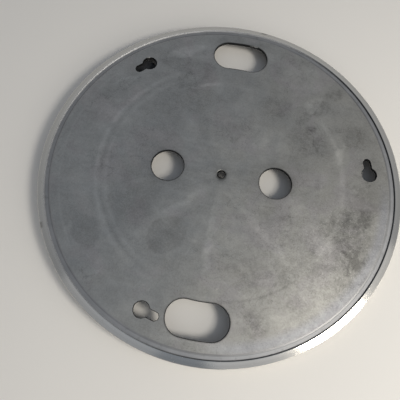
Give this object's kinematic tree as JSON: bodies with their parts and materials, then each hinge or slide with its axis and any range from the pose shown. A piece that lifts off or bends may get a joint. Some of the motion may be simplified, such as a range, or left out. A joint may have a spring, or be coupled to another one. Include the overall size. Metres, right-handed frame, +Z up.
{
  "type": "banding wheel",
  "caption": "Low banding wheel: round cast aluminium head with finger holes, windows and keyholes, turning on a flat ball bearing over a four-armed base.",
  "frame": {"origin": "on the bench, on the wheel's axis of rotation", "axes": "+Z up along the axis of rotation; +X through the centre of one round finger hole of the head"},
  "size_m": [0.3048, 0.3048, 0.0142],
  "materials": {
    "head_aluminium": "dull oxidised casting with a turned, polished rim",
    "base_paint": "black hammered paint",
    "bearing_steel": "ground",
    "ball_steel": "polished",
    "plated_steel": "dull zinc plate",
    "spring_steel": "blued",
    "fastener_steel": "zinc plated",
    "bronze": "sintered bronze",
    "rubber": "matt",
    "felt": "pressed felt",
    "nylon": "natural nylon"
  },
  "bodies": {
    "base": {"base_cross": "base_paint", "lower_race": "bearing_steel", "spindle_bush": "bronze", "dust_seal": "felt", "bearing_cover": "plated_steel", "cover_screw_1": "fastener_steel", "cover_screw_2": "fastener_steel", "cover_screw_3": "fastener_steel", "foot_1": "rubber", "foot_2": "rubber", "foot_3": "rubber", "foot_4": "rubber", "foot_screw_1": "fastener_steel", "foot_screw_2": "fastener_steel", "foot_screw_3": "fastener_steel", "foot_screw_4": "fastener_steel"},
    "rotor": {"spindle": "bearing_steel", "drive_flange": "plated_steel", "flange_rivet_1": "fastener_steel", "flange_rivet_2": "fastener_steel", "flange_rivet_3": "fastener_steel", "friction_pad": "rubber", "upper_race": "bearing_steel", "thrust_washer": "bronze", "circlip": "spring_steel"},
    "ball_cage": {"ball_retainer": "nylon", "ball_1": "ball_steel", "ball_2": "ball_steel", "ball_3": "ball_steel", "ball_4": "ball_steel", "ball_5": "ball_steel", "ball_6": "ball_steel", "ball_7": "ball_steel", "ball_8": "ball_steel", "ball_9": "ball_steel", "ball_10": "ball_steel", "ball_11": "ball_steel", "ball_12": "ball_steel"},
    "head": {"wheel_head": "head_aluminium"}
  },
  "joints": [
    {"name": "rotor_spin", "type": "hinge", "parent": "base", "child": "rotor", "pos_m": [0, 0, 0.0108], "axis": [0, 0, 1], "continuous": true},
    {"name": "cage_spin", "type": "hinge", "parent": "base", "child": "ball_cage", "pos_m": [0, 0, 0.0054], "axis": [0, 0, 1], "continuous": true},
    {"name": "head_lift", "type": "slide", "parent": "rotor", "child": "head", "axis": [0, 0, 1], "range_m": [0, 0.03]}
  ],
  "couplings": [
    {"joint": "cage_spin", "follows": "rotor_spin", "ratio": 0.5}
  ]
}
